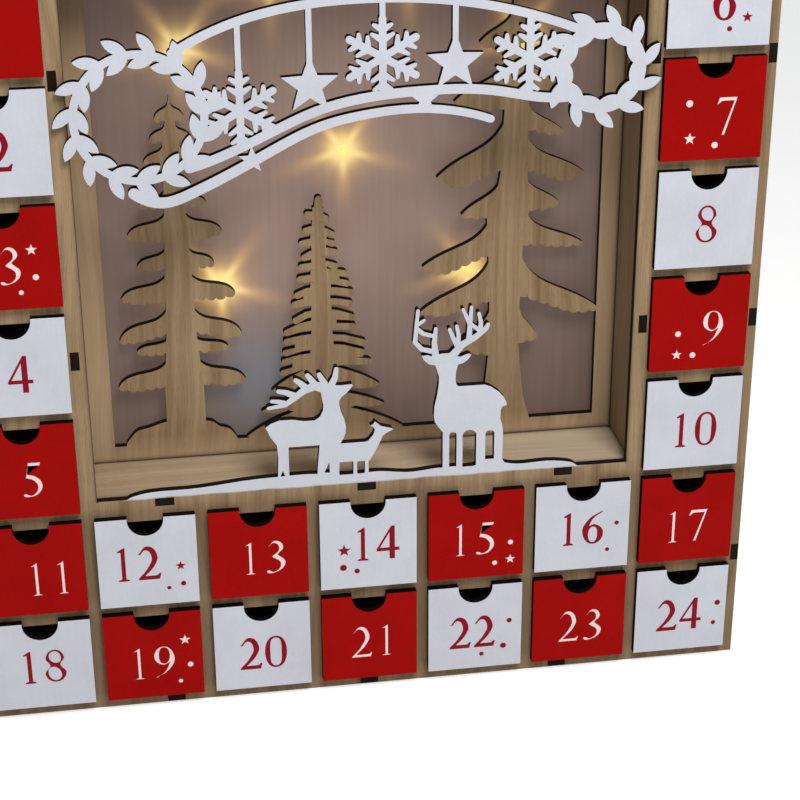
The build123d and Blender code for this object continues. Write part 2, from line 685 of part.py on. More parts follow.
# Battery box: an open bay with ledges for the lid, a switch room beside it and a flange inside the panel
bay_left = -box_half_length + box_wall
bay_right = bay_left + bay_length
room_left = bay_right + box_wall
room_right = room_left + switch_room
bay_low = box_level - bay_height / 2
bay_high = box_level + bay_height / 2
y_lid = y_rear - box_wall
slot_half_width = knob_size / 2 + knob_gap
slot_half_height = (knob_size + switch_travel) / 2 + knob_gap
switch_x = (room_left + room_right) / 2


def battery_box():
    box = slab(
        -box_half_length, box_half_length, y_box, y_rear,
        box_level - box_half_height, box_level + box_half_height,
    )
    box += slab(
        -box_half_length - flange_width, box_half_length + flange_width, y_back - flange_thick, y_back,
        box_level - box_half_height - flange_width, box_level + box_half_height + flange_width,
    )
    box -= slab(bay_left + ledge_width, bay_right - ledge_width, y_box + box_wall, y_lid, bay_low, bay_high)
    box -= slab(bay_left, bay_right, y_lid, y_rear + cut_over, bay_low, bay_high)
    box -= slab(room_left, room_right, y_box - cut_over, y_lid, bay_low, bay_high)
    box -= slab(
        switch_x - slot_half_width, switch_x + slot_half_width, y_lid - cut_over, y_rear + cut_over,
        box_level - slot_half_height, box_level + slot_half_height,
    )
    return box


def battery_lid():
    lid_top = bay_high - lid_gap
    lid = slab(bay_left + lid_gap, bay_right - lid_gap, y_lid, y_rear, bay_low + lid_gap, lid_top)
    grip_low = lid_top - lid_grip_width / 3
    lid -= slab(
        -lid_grip_width / 2, lid_grip_width / 2, y_rear - lid_grip_depth, y_rear + cut_over,
        grip_low, bay_high + cut_over,
    )
    return lid


def switch_slider():
    y_plate = y_lid - knob_gap
    low = box_level - switch_travel / 2
    base = slab(
        switch_x - slider_width / 2, switch_x + slider_width / 2, y_plate - slider_thick, y_plate,
        low - slider_length / 2, low + slider_length / 2,
    )
    knob = slab(
        switch_x - knob_size / 2, switch_x + knob_size / 2, y_plate, y_rear - slide_gap,
        low - knob_size / 2, low + knob_size / 2,
    )
    return base + knob


save("battery_box", battery_box())
save("battery_lid", battery_lid())
save("switch_slider", switch_slider())


# Light string: round-headed bulbs seated on the backdrop, joined by a wire that ends at the battery box
def bulb(x, z):
    neck_length = backdrop_board + bulb_reach
    base = Rot(X=90) * Cylinder(bulb_radius + bulb_collar, bulb_base_length)
    base = Pos(x, y_backdrop_rear + bulb_base_length / 2, z) * base
    neck = Pos(x, y_backdrop_rear - neck_length / 2, z) * Rot(X=90) * Cylinder(bulb_radius, neck_length)
    head = Pos(x, y_backdrop_rear - neck_length, z) * Sphere(bulb_radius)
    return base + neck + head


def light_string():
    start = (-box_half_length, y_wire, box_level)
    lead = (-box_half_length - wire_lead, y_wire, box_level)
    stops = [start, lead] + [(x, y_wire, z) for x, z in bulbs]
    path = FilletPolyline(*stops, radius=wire_bend)
    section = Plane(origin=path @ 0, z_dir=path % 0) * Circle(wire_radius)
    return sweep(section, path=path) + [bulb(x, z) for x, z in bulbs]


save("light_string", light_string())


# Garland: two leaf wreaths, a double rail and an arch between them, stars and snowflakes on the rail
def in_window(share):
    return (share[0] * window_half, window_bottom + share[1] * window_height)


def polar(centre, radius, degrees):
    return (centre[0] + radius * cos(radians(degrees)), centre[1] + radius * sin(radians(degrees)))


def leaf(base, degrees):
    """A pointed leaf between two arcs."""
    tip = polar(base, leaf_length, degrees)
    middle = polar(base, leaf_length / 2, degrees)
    upper = ThreePointArc(base, polar(middle, leaf_width / 2, degrees + 90), tip)
    lower = ThreePointArc(tip, polar(middle, leaf_width / 2, degrees - 90), base)
    return make_face(upper + lower)


def wreath(centre, radius, leaf_count):
    """A ring with a leaf to each side of it at every step, all leaning the same way round."""
    faces = [Pos(*centre) * (Circle(radius + wreath_band / 2) - Circle(radius - wreath_band / 2))]
    for step in range(leaf_count):
        turn = 360 * step / leaf_count
        base = polar(centre, radius, turn)
        faces.append(leaf(base, turn + 90 - leaf_lean))
        faces.append(leaf(base, turn + 90 + leaf_lean))
    return faces


def snowflake(centre):
    """Six arms, each with two pairs of barbs."""
    faces = []
    for arm in range(6):
        turn = 90 + 60 * arm
        faces += limb([centre, polar(centre, snowflake_radius, turn)], snowflake_width, snowflake_width)
        for barb_share in snowflake_barb_shares:
            fork = polar(centre, snowflake_radius * barb_share, turn)
            length = snowflake_barb_length * (1 - barb_share / 2)
            for lean in (-60, 60):
                barb = [fork, polar(fork, length, turn + lean)]
                faces += limb(barb, snowflake_width, snowflake_width / 2)
    return faces


def star(centre, radius):
    """A five-pointed star."""
    reaches = [radius, radius * star_inner_share] * 5
    points = [polar(centre, reach, 90 + 36 * corner) for corner, reach in enumerate(reaches)]
    return make_face(Polyline(*points, close=True))


def hanger(centre, radius, arch):
    """A thin bar from an ornament up to the arch."""
    x, z = centre
    return plate(x - hanger_width / 2, x + hanger_width / 2, z + radius / 2, height_along(arch, x))


def bar(points, start_width, end_width):
    """A smooth bar with round ends along a curve through points, tapering from one width to another."""
    path = Spline(*points)
    upper = []
    lower = []
    for step in range(curve_steps + 1):
        share = step / curve_steps
        half = (start_width + (end_width - start_width) * share) / 2
        spot = path @ share
        ahead = path % share
        upper.append((spot.X - ahead.Y * half, spot.Y + ahead.X * half))
        lower.append((spot.X + ahead.Y * half, spot.Y - ahead.X * half))
    sides = [Spline(*upper), Line(upper[-1], lower[-1]), Spline(*reversed(lower)), Line(lower[0], upper[0])]
    ends = [Pos(*points[0]) * Circle(start_width / 2), Pos(*points[-1]) * Circle(end_width / 2)]
    return [make_face(sides)] + ends


def along(points):
    """Places at even steps along a smooth curve through points."""
    path = Spline(*points)
    spots = [path @ (step / curve_steps) for step in range(curve_steps + 1)]
    return [(spot.X, spot.Y) for spot in spots]


def height_along(points, x):
    for (x_low, z_low), (x_high, z_high) in zip(points, points[1:]):
        if x_low <= x <= x_high:
            return z_low + (z_high - z_low) * (x - x_low) / (x_high - x_low)
    return points[-1][1]


def on_wreath(share, centre, radius):
    return (centre[0] + share[0] * radius, centre[1] + share[1] * radius)


def garland():
    outer = window_half + post_overlap - leaf_length * sin(radians(leaf_lean))
    left = (left_wreath_radius - outer, in_window((0, left_wreath_share))[1])
    right = (outer - right_wreath_radius, in_window((0, right_wreath_share))[1])
    swoosh = [on_wreath(share, left, left_wreath_radius) for share in curl_shares]
    swoosh += [in_window(share) for share in swoosh_shares]
    rail = [on_wreath(rail_start_share, left, left_wreath_radius)]
    rail += [in_window(share) for share in rail_shares]
    rail.append(on_wreath(rail_end_share, right, right_wreath_radius))
    arch = [on_wreath(arch_start_share, left, left_wreath_radius)]
    arch += [in_window(share) for share in arch_shares]
    arch.append(on_wreath(arch_end_share, right, right_wreath_radius))
    faces = wreath(left, left_wreath_radius, left_leaf_count)
    faces += wreath(right, right_wreath_radius, right_leaf_count)
    faces += bar(swoosh, swoosh_width, swoosh_end_width)
    faces += bar(rail, rail_width, rail_width)
    faces += bar(arch, arch_width, arch_width)
    arch_line = along(arch)
    for share in snowflake_shares:
        faces += snowflake(in_window(share))
        faces.append(hanger(in_window(share), snowflake_radius, arch_line))
    for share in star_shares:
        faces.append(star(in_window(share), star_radius))
        faces.append(hanger(in_window(share), star_radius, arch_line))
    faces += [star(in_window(share), tie_radius) for share in tie_shares]
    return sheet(joined(faces), y_front, front_board)


save("garland", garland())
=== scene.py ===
import math

import bpy
from mathutils import Matrix, Vector


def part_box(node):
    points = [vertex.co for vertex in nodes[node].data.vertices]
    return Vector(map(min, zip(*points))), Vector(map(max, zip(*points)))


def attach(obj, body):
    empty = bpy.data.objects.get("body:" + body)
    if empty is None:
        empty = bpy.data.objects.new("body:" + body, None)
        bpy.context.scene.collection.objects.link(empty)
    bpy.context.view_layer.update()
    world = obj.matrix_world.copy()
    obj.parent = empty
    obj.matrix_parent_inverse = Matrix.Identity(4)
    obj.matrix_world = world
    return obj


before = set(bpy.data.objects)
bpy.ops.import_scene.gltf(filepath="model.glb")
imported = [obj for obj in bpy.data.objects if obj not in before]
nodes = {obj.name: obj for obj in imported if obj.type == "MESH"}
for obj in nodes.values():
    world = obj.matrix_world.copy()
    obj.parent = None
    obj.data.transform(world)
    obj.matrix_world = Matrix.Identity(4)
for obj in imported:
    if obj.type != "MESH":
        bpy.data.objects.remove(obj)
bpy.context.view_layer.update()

# The camera stands in front of the calendar, a little to its left and above it, and looks down at the
# window through a short tele lens.
camera_place = Vector((-0.11283, -0.85174, 0.53733))
camera_right = Vector((0.98740, -0.15816, -0.00442))
camera_ahead = Vector((0.14200, 0.89812, -0.41619))
lens_mm = 85.67
film_mm = 36.0
eye = bpy.data.cameras.new("studio_camera")
eye.lens = lens_mm
eye.sensor_width = film_mm
eye.clip_start = 0.01
camera = bpy.data.objects.new("studio_camera", eye)
bpy.context.collection.objects.link(camera)
camera_turn = Matrix((camera_right, camera_right.cross(camera_ahead), -camera_ahead)).transposed()
camera.matrix_world = Matrix.Translation(camera_place) @ camera_turn.to_4x4()
bpy.context.scene.camera = camera


# The outer case: a base, a top and two sides of 4 mm birch plywood, cut by laser and glued. Their long
# faces are raw sanded veneer, their cut ends and the tenons through the front panel are charred dark.
mm_per_metre = 1000.0


class Wire:
    """One output of a material's node. A sum on wires adds a Math node."""

    def __init__(self, finish, socket):
        self.finish = finish
        self.socket = socket

    def maths(self, operation, *values):
        return self.finish.node("ShaderNodeMath", {"operation": operation}, dict(enumerate(values)))

    def __add__(self, other):
        return self.maths("ADD", self, other)

    def __sub__(self, other):
        return self.maths("SUBTRACT", self, other)

    def __rsub__(self, other):
        return self.maths("SUBTRACT", other, self)

    def __mul__(self, other):
        return self.maths("MULTIPLY", self, other)

    def __truediv__(self, other):
        return self.maths("DIVIDE", self, other)

    def __rtruediv__(self, other):
        return self.maths("DIVIDE", other, self)

    def __pow__(self, other):
        return self.maths("POWER", self, other)

    def __mod__(self, other):
        return self.maths("FLOORED_MODULO", self, other)

    def __lt__(self, other):
        return self.maths("LESS_THAN", self, other)

    def __gt__(self, other):
        return self.maths("GREATER_THAN", self, other)

    def __or__(self, other):
        return self.maths("MAXIMUM", self, other)

    def __and__(self, other):
        return self.maths("MINIMUM", self, other)

    def __abs__(self):
        return self.maths("ABSOLUTE", self)

    def __neg__(self):
        return self.maths("MULTIPLY", self, -1.0)

    def exp(self):
        return self.maths("EXPONENT", self)

    def cos(self):
        return self.maths("COSINE", self)

    def held(self):
        """The value, kept between 0 and 1."""
        return self & 1.0 | 0.0

    def fade(self, width):
        """1 at zero, dying away over a width."""
        return (-(self / width)).exp()

    __radd__ = __add__
    __rmul__ = __mul__
    __ror__ = __or__
    __rand__ = __and__


class Shading:
    """The node tree of a material or a world."""

    def __init__(self, tree):
        self.tree = tree

    def node(self, kind, settings=None, inputs=None, out=0):
        made = self.tree.nodes.new(kind)
        for name, value in (settings or {}).items():
            setattr(made, name, value)
        for key, value in (inputs or {}).items():
            if isinstance(value, Wire):
                self.tree.links.new(value.socket, made.inputs[key])
            else:
                made.inputs[key].default_value = value
        return Wire(self, made.outputs[out])

    def seen(self):
        """1 where the eye or a mirror looks at a surface, 0 where the surface lights the object."""
        kinds = ("Camera", "Glossy", "Transmission")
        eye_ray, mirror_ray, glass_ray = [
            self.node("ShaderNodeLightPath", out=f"Is {kind} Ray") for kind in kinds
        ]
        return eye_ray | mirror_ray | glass_ray


class Finish(Shading):
    """A node material for one finish of the calendar, with places in millimetres."""

    def __init__(self, name):
        self.material = bpy.data.materials.new(name)
        self.material.use_nodes = True
        super().__init__(self.material.node_tree)
        self.shader = self.tree.nodes["Principled BSDF"]
        spot = self.node("ShaderNodeTexCoord", out="Object")
        scaled = {"Vector": spot, "Scale": mm_per_metre}
        self.place = self.node("ShaderNodeVectorMath", {"operation": "SCALE"}, scaled)
        self.x, self.y, self.z = self.parts(self.place)
        self.across, self.deep, self.up = self.parts(self.node("ShaderNodeTexCoord", out="Normal"))

    def parts(self, vector):
        node = self.node("ShaderNodeSeparateXYZ", inputs={"Vector": vector}).socket.node
        return [Wire(self, socket) for socket in node.outputs]

    def spot(self, x, y, z):
        return self.node("ShaderNodeCombineXYZ", inputs={"X": x, "Y": y, "Z": z})

    def noise(self, vector, scale=1.0, detail=2.0, rough=0.5):
        sizes = {"Vector": vector, "Scale": scale, "Detail": detail, "Roughness": rough}
        return self.node("ShaderNodeTexNoise", inputs=sizes)

    def mix(self, factor, low, high):
        return self.node("ShaderNodeMix", {"data_type": "RGBA"}, {0: factor, 6: low, 7: high}, out=2)

    def bump(self, height, depth_mm, strength=1.0):
        sizes = {"Strength": strength, "Distance": depth_mm / mm_per_metre, "Height": height}
        return self.node("ShaderNodeBump", inputs=sizes)

    def shade(self, **looks):
        for name, value in looks.items():
            socket = self.shader.inputs[name.replace("_", " ").title().replace("Ior", "IOR")]
            if isinstance(value, Wire):
                self.tree.links.new(value.socket, socket)
            else:
                socket.default_value = value

    def on(self, *names):
        for name in names:
            for slot in nodes[name].material_slots:
                slot.material = self.material


def tint(red, green, blue):
    """A colour as it looks on screen, from 0 to 255, as the linear colour that a shader takes."""
    screen = [part / 255 for part in (red, green, blue)]
    return tuple(c / 12.92 if c <= 0.04045 else ((c + 0.055) / 1.055) ** 2.4 for c in screen) + (1.0,)


facing = 0.5
pore_brown = tint(92, 68, 46)


def veneer(finish, pale, deep, contrast=1.0):
    """Colour, roughness and height of rotary-cut veneer: up a standing sheet or wall, along a shelf."""
    lying = abs(finish.up) > facing
    sideways = abs(finish.across) > facing
    u = finish.x + (finish.y - finish.x) * (lying | sideways)
    v = finish.z + (finish.x - finish.z) * lying
    layer = finish.across * finish.x + finish.deep * finish.y + finish.up * finish.z
    drift = finish.noise(finish.spot(u * 0.012, v * 0.006, layer * 0.21), detail=1.0) - 0.5
    wavy = u + drift * 26.0
    bands = finish.noise(finish.spot(wavy * 0.13, v * 0.005, layer * 0.37), detail=3.0, rough=0.55)
    rings = finish.noise(finish.spot(wavy * 0.55, v * 0.009, layer * 0.53), detail=2.0)
    fibre = finish.noise(finish.spot(wavy * 2.6, v * 0.05, layer), detail=2.0, rough=0.6)
    dashes = finish.noise(finish.spot(wavy * 3.4, v * 0.16, layer * 1.7), detail=1.0)
    pores = ((dashes - 0.62) * 9.0).held()
    tone = 0.5 + ((bands - 0.5) * 1.5 + (rings - 0.5) * 0.9 + (fibre - 0.5) * 0.7) * contrast
    colour = finish.mix(tone, deep, pale)
    colour = finish.mix(pores * 0.35, colour, pore_brown)
    rough = 0.60 + fibre * 0.18
    height = fibre * 0.7 + rings * 0.3 - pores * 0.6
    return colour, rough, height


char_black = tint(11, 7, 6)
char_brown = tint(36, 24, 18)


def char(finish, thickness_spot, brown=char_brown):
    """Colour of a laser-cut plywood edge: near black glue lines and browner plies, with streaks."""
    plies = finish.noise(finish.spot(thickness_spot * 0.9, 0.0, 0.0), detail=0.0)
    streaks = finish.noise(finish.place, scale=1.3, detail=2.0)
    return finish.mix((plies * 0.8 + streaks * 0.7 - 0.45).held(), char_black, brown)


def raw_plywood(name, edges, pale, deep, contrast=1.0, dress=None):
    """Bare plywood; edges gives the mask of its charred edges and the place through their thickness, dress
    lays stains, paint, painted light or painted shade over the wood."""
    finish = Finish(name)
    colour, rough, height = veneer(finish, pale, deep, contrast)
    if dress:
        colour = dress(finish, colour)
    mask, through = edges(finish)
    finish.shade(
        base_color=finish.mix(mask, colour, char(finish, through)),
        roughness=rough + mask * 0.12,
        normal=finish.bump(height * (1 - mask), depth_mm=0.09, strength=0.6),
        specular_ior_level=0.12,
    )
    return finish


board_mm = 4.0
height_mm = 378.0
end_slack_mm = 0.02


def board_ends(finish):
    """Front and rear edges of the boards, and the ends of the base and the top."""
    on_base = finish.z < board_mm + end_slack_mm
    on_top = finish.z > height_mm - board_mm - end_slack_mm
    ends = (abs(finish.across) > facing) & (on_base | on_top)
    return (abs(finish.deep) > facing) | ends, finish.x + finish.z


case_pale = tint(182, 156, 122)
case_deep = tint(136, 111, 82)
raw_plywood("case_plywood", board_ends, case_pale, case_deep, contrast=0.7).on("case_boards")


# The partition boards stand and lie between the drawers and round the window: raw plywood, with painted light
# on the shelves, painted shade on the walls and in the corners where they meet, and sooty cut edges.
wall_face_mm = 133.0
tree_face_mm = 10.0
panel_rear_mm = -29.0
corner_shade_mm = 1.1
joint_shade_mm = 1.2
rim_soot_mm = 1.6
shelf_painted_light = tint(208, 195, 176)
wall_painted_shade = tint(80, 61, 46)
soot_and_shade_brown = tint(36, 25, 19)


def soot(finish, wood):
    """Painted light on the shelves, painted shade on the walls, in the corners and behind the trees, and
    sooty front edges.
    """
    lying = finish.up > facing
    # Painted light makes the shelves paler, more so to the right; painted shade darkens the walls.
    wood = finish.mix(lying * (0.3 + finish.x * 0.0013), wood, shelf_painted_light)
    wood = finish.mix((abs(finish.across) > facing) * 0.4, wood, wall_painted_shade)
    # Painted shade in the shelf corners and where the boards meet the tree panel; real soot along the front
    # edge.
    corner = abs(wall_face_mm - abs(finish.x)).fade(corner_shade_mm) * lying
    joint_shade = abs(finish.y - tree_face_mm).fade(joint_shade_mm)
    rim = (finish.y - panel_rear_mm).fade(rim_soot_mm)
    return finish.mix((corner + joint_shade + rim) * 0.95 & 1.0, wood, soot_and_shade_brown)


partition_pale = tint(190, 166, 134)
partition_deep = tint(146, 120, 90)
partition_wood = raw_plywood("partition_plywood", board_ends, partition_pale, partition_deep, dress=soot)
partition_wood.on("partition_boards")


# The front panel is one 4 mm sheet with the window, the drawer openings and the tenon slots cut out. The snow
# and the reindeer stand up in its window, cut in one with it, and only they are brushed with white paint.
edge_facing = 0.6


def sheet_edges(finish):
    """Every cut edge of an upright sheet, and the place through its thickness."""
    return abs(finish.deep) < edge_facing, finish.y


def brushed_paint(finish, coat, shadow):
    """Colour and height of thin paint on wood: patches, specks and a little grain show in it."""
    grain = finish.noise(finish.spot(finish.x * 1.5, finish.y, finish.z * 0.05), detail=2.0)
    specks = finish.noise(finish.place, scale=0.8, detail=3.0)
    patches = finish.noise(finish.place, scale=0.045, detail=2.0)
    worn = (patches - 0.5) * 1.2 + (specks - 0.5) * 0.5 + (grain - 0.5) * 0.35
    return finish.mix((0.35 + worn).held(), coat, shadow), grain * 0.8 + specks * 0.5


white_coat = tint(202, 205, 214)
white_shade = tint(188, 190, 199)
shelf_mm = 115.0
window_half_mm = 130.0
window_top_mm = 369.7
snow_left_mm = -117.5
snow_right_mm = 110.0
snow_border_mm = 115.4
snow_wave_mm = 2.2
snow_edge_mm = 0.9
snow_side_mm = 2.0
snow_top_gain = 3.0
rim_line_mm = 0.4
rim_smoke_mm = 1.5
lower_shade_mm = 118.0
lower_shade_blend_mm = 10.0
outer_wood_mm = 160.0
outer_blend_mm = 12.0
shade_and_edge_brown = tint(88, 66, 53)
scorch_brown = tint(46, 31, 22)


def snow_paint(finish, wood):
    """White on the snow and the reindeer with a soft uneven lower border, a scorched window rim, painted
    shade that browns the wood between the lower drawers, and wood that grows browner along the outer edge."""
    # Painted shade browns the wood between the lower drawer fronts and under the window; the outer edge is
    # only darker.
    low = ((lower_shade_mm - finish.z) / lower_shade_blend_mm).held()
    outer = ((abs(finish.x) - outer_wood_mm) / outer_blend_mm).held()
    wood = finish.mix(low * 0.42 | outer * 0.22, wood, shade_and_edge_brown)
    to_rim = abs(abs(finish.x) - window_half_mm)
    rim = (to_rim.fade(rim_line_mm) * 0.75 + to_rim.fade(rim_smoke_mm) * 0.25) * (finish.z > shelf_mm)
    wood = finish.mix(rim, wood, scorch_brown)
    wave = finish.noise(finish.spot(finish.x * 0.05, 0.0, 0.0), detail=3.0) - 0.5
    above = (finish.z - snow_border_mm - wave * snow_wave_mm) / snow_edge_mm + 0.5
    below = (window_top_mm - finish.z) * snow_top_gain
    between = (finish.x - snow_left_mm & snow_right_mm - finish.x) / snow_side_mm
    inside = between & below & above
    white, _ = brushed_paint(finish, white_coat, white_shade)
    return finish.mix((inside & (finish.deep < -facing)) | 0.0, wood, white)


panel_pale = tint(178, 152, 118)
panel_deep = tint(122, 98, 71)
raw_plywood("front_plywood", sheet_edges, panel_pale, panel_deep, dress=snow_paint).on("front_panel")


# The tree panel is a second 4 mm sheet set back in the window: a frame, hills and three firs in one piece. It
# is glued between the shelf, the walls and the top, and painted shade lies along its joints.
tree_half_mm = 132.9
tree_joint_shade_mm = 1.0
frame_side_mm = 112.0
frame_foot_mm = 128.0
frame_blend_mm = 12.0
frame_pale = tint(206, 179, 146)


def joint_lines(finish, wood):
    """A paler frame round the trees, with painted shade along its joints."""
    # Painted shade along its joints with the shelf and the walls.
    side_joint_shade = (tree_half_mm - abs(finish.x)).fade(tree_joint_shade_mm)
    joint_shade = (finish.z - shelf_mm).fade(tree_joint_shade_mm) | side_joint_shade
    past_frame = abs(finish.x) - frame_side_mm | frame_foot_mm - finish.z
    wood = finish.mix((past_frame / frame_blend_mm).held() * 0.42, wood, frame_pale)
    return finish.mix(joint_shade, wood, soot_and_shade_brown)


tree_pale = tint(172, 147, 114)
tree_deep = tint(120, 96, 69)
tree_wood = raw_plywood("tree_plywood", sheet_edges, tree_pale, tree_deep, contrast=0.9, dress=joint_lines)
tree_wood.on("tree_panel")


# The backdrop is a thin board with a taupe print and painted light that makes it glow a little, brightest in
# the middle. Each bulb pushed through its holes has a painted star of light round it, with one ray straight
# down.
def blot(finish, x, z, wide, high):
    """1 at a place on an upright sheet, fading out round it."""
    side = (finish.x - x) / wide
    rise = (finish.z - z) / high
    return (-(side * side + rise * rise)).exp()


bulbs_mm = [
    (-63.1, 202.0), (-78.0, 319.6), (-35.1, 349.9), (30.0, 351.9), (84.0, 318.8), (79.3, 259.3),
    (59.0, 203.0), (-2.3, 267.4),
]
bulb_glows = [1.15, 0.8, 0.6, 0.6, 0.8, 0.0, 0.85, 0.95]
taupe_dark = tint(116, 92, 82)
taupe_light = tint(160, 136, 124)
cool_grey = tint(132, 133, 140)
backdrop = Finish("backdrop_print")
clouds = backdrop.noise(backdrop.place, scale=0.011, detail=2.0)
streaks = backdrop.noise(backdrop.spot(backdrop.x * 0.35, 0.0, backdrop.z * 0.012), detail=2.0)
taupe = backdrop.mix(clouds + (streaks - 0.5) * 0.3, taupe_dark, taupe_light)
grey_blot = blot(backdrop, x=-46.0, z=150.0, wide=24.0, high=27.0)
taupe = backdrop.mix(grey_blot * 0.9, taupe, cool_grey)
black = (0, 0, 0, 1)
# Painted light: the board glows, most in the middle, and its base colour is darkened so cast shadows stay
# faint.
painted_light_middle = blot(backdrop, x=-15.0, z=245.0, wide=85.0, high=85.0)
painted_backlight = backdrop.mix(0.22 + 0.55 * painted_light_middle, black, taupe)
core_reach_mm = 7.5
core_ray_mm = 3.5
halo_reach_mm = 12.0
halo_ray_mm = 8.0
ray_count = 5.0
core_colour = tint(255, 228, 142)
halo_colour = tint(210, 164, 98)
# Painted light: a star of bulb light on the board round each lit bulb.
core = 0.0
halo = 0.0
for (bulb_x, bulb_z), strength in zip(bulbs_mm, bulb_glows):
    if strength:
        side, rise = backdrop.x - bulb_x, backdrop.z - bulb_z
        reach = (side * side + rise * rise) ** 0.5
        turn = side.maths("ARCTAN2", rise, side)
        rays = ((turn * ray_count + math.pi / 2).cos() * 0.5 + 0.5) ** 4.0
        core = core + strength * (-((reach / (core_reach_mm + rays * core_ray_mm)) ** 3.0)).exp()
        halo = halo + strength * (-((reach / (halo_reach_mm + rays * halo_ray_mm)) ** 2.0)).exp()
glow = backdrop.mix(core & 1.0, backdrop.mix(halo & 1.0, painted_backlight, halo_colour), core_colour)
backdrop.shade(
    base_color=backdrop.mix(0.45, black, taupe), roughness=0.62, emission_color=glow, emission_strength=1.0
)
backdrop.on("backdrop_panel")

# The light string: clear warm-white bulbs with round heads, pushed through the backdrop from behind and
# joined by thin wire. Only the heads in front of the board are lit.
bulb_finish = Finish("lit_bulbs")
head_rear_mm = 20.5
wire_clear = tint(196, 190, 172)
head_amber = tint(170, 148, 92)
head_light = tint(252, 222, 130)
heads = bulb_finish.y < head_rear_mm
bulb_finish.shade(
    base_color=bulb_finish.mix(heads, wire_clear, head_amber),
    roughness=0.25,
    emission_color=bulb_finish.mix(heads, black, head_light),
    emission_strength=1.0,
)
bulb_finish.on("light_string")

# The back panel is one 3 mm plywood sheet, glued to the rear edges of the case and the partitions, with a
# cut-out for the battery box.
back_pale = tint(196, 172, 140)
back_deep = tint(156, 131, 100)
raw_plywood("back_plywood", sheet_edges, back_pale, back_deep, contrast=0.6).on("back_panel")

# The battery box and its lid are moulded in pale plastic, the switch in black, all with a fine spark-eroded
# texture. The box is held by its flange, the lid snaps on it and the switch slides in a slot beside it.
for name, shell, parts in (
    ("box_plastic", tint(214, 213, 208), ("battery_box", "battery_lid")),
    ("switch_plastic", tint(38, 38, 40), ("switch_slider",)),
):
    plastic = Finish(name)
    erosion = plastic.noise(plastic.place, scale=3.0, detail=2.0)
    plastic.shade(
        base_color=plastic.mix(erosion * 0.12, shell, tint(120, 118, 112)),
        roughness=0.42 + erosion * 0.15,
        normal=plastic.bump(erosion, depth_mm=0.03, strength=0.4),
    )
    plastic.on(*parts)


# The garland is a white-painted plywood cut-out glued across the top of the window. The paint lies on its
# front face only and the cut edges are charred.
bare_rear = tint(158, 132, 98)
burnt_brown = tint(20, 13, 10)


def painted(name, coat, shade):
    """A sheet with paint on its front face, bare wood behind and burnt edges."""
    finish = Finish(name)
    colour, height = brushed_paint(finish, coat, shade)
    mask, through = sheet_edges(finish)
    colour = finish.mix(finish.deep > facing, colour, bare_rear)
    finish.shade(
        base_color=finish.mix(mask, colour, char(finish, through, burnt_brown)),
        roughness=0.5 + height * 0.1 + mask * 0.2,
        normal=finish.bump(height * (1 - mask), depth_mm=0.07, strength=0.5),
        specular_ior_level=0.04,
    )
    return finish


white_paint = painted("white_paint", white_coat, white_shade)
white_paint.on("garland")

# The drawer fronts are 4 mm squares with a finger notch, painted red on odd days and white on even days,
# each glued to a tray of four raw 3 mm boards.
red_coat = tint(158, 9, 6)
red_shade = tint(138, 7, 5)
red_paint = painted("red_paint", red_coat, red_shade)
row_pitch_mm = 53.0
lowest_tray_mm = 9.0
tray_middle_mm = 20.0


def tray_tops(finish):
    """Upper edges of the tray boards: high above the tray floor in every row of the grid."""
    above_tray_foot = (finish.z - lowest_tray_mm) % row_pitch_mm
    return (above_tray_foot > tray_middle_mm) & (finish.up > facing), finish.x + finish.y


tray_pale = tint(150, 124, 94)
tray_deep = tint(110, 87, 62)
tray_wood = raw_plywood("tray_plywood", tray_tops, tray_pale, tray_deep)
days = range(1, 25)
for day in days:
    (red_paint if day % 2 else white_paint).on(f"drawer_front_{day:02d}")
    tray_wood.on(f"drawer_tray_{day:02d}")

